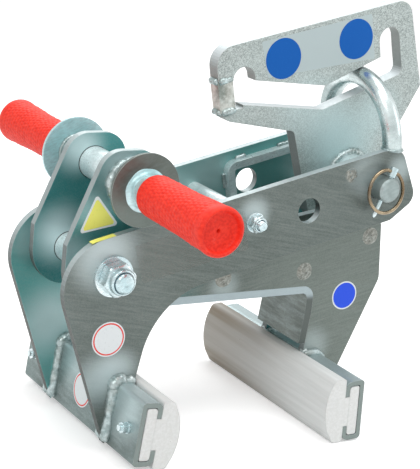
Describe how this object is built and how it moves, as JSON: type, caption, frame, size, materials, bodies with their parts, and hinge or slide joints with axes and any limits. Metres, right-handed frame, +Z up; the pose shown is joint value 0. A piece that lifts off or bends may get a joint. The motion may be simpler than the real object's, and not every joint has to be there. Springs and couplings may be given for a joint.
{
  "type": "lifting tongs",
  "caption": "Scissor lifting tongs with two long clamp jaws, red hand grips, and a hook plate with two recesses for a crane hook.",
  "frame": {"origin": "middle of the bounding box's bottom face, on the ground the jaws stand on", "axes": "+X from the pivot towards the hitch pin, +Y away from the nut side along the pivot bolt, +Z up"},
  "size_m": [0.4277, 0.42, 0.4316],
  "materials": {
    "side_plate": "rolled zinc-plated plate",
    "galvanised": "galvanised",
    "bright_steel": "bright zinc plate",
    "rail_steel": "satin",
    "weld_steel": "as welded",
    "fastener": "bright zinc plate",
    "ring_steel": "yellow passivated wire",
    "red_grip": "pebbled",
    "jaw_rubber": "satin, fine lengthwise lines"
  },
  "bodies": {
    "inner_frame": {"inner_plate_front": "side_plate", "inner_plate_rear": "side_plate", "inner_web": "bright_steel", "cross_bars": "weld_steel", "pivot_tube": "bright_steel", "right_jaw_rail": "rail_steel", "right_jaw_insert": "jaw_rubber", "right_jaw_screws": "fastener", "handle_tube": "bright_steel", "hand_guard_front": "bright_steel", "hand_guard_rear": "bright_steel", "grip_front": "red_grip", "grip_rear": "red_grip"},
    "outer_arm": {"outer_plate_front": "side_plate", "outer_plate_rear": "side_plate", "pivot_bolt": "fastener", "pivot_nut": "fastener", "pivot_nut_collar": "fastener", "pivot_washers": "fastener", "pivot_spacers": "bright_steel", "tie_bolt": "fastener", "tie_nut": "fastener", "tie_nut_collar": "fastener", "tie_washers": "fastener", "tie_tube": "bright_steel", "strap_front": "bright_steel", "strap_rear": "bright_steel", "strap_plugs": "weld_steel", "hook_plate": "galvanised", "hook_end_bar": "weld_steel", "hook_bush": "bright_steel", "guide_bow": "galvanised", "left_jaw_rail": "rail_steel", "left_jaw_insert": "jaw_rubber", "left_jaw_screws": "fastener"},
    "hitch_pin_set": {"hitch_pin": "bright_steel", "lynch_pin": "fastener"},
    "ring": {"lynch_ring": "ring_steel"}
  },
  "joints": [
    {"name": "jaw_pivot", "type": "hinge", "parent": "inner_frame", "child": "outer_arm", "pos_m": [-0.16464, 0, 0.177], "axis": [0, -1, 0], "range_deg": [0, 24]},
    {"name": "pin_turn", "type": "hinge", "parent": "outer_arm", "child": "hitch_pin_set", "pos_m": [0.13477, 0, 0.25094], "axis": [0, 1, 0], "continuous": true},
    {"name": "ring_swing", "type": "hinge", "parent": "hitch_pin_set", "child": "ring", "pos_m": [0.1414, -0.0725, 0.26821], "axis": [0.9336, 0, -0.3584], "range_deg": [-150, 0]}
  ]
}
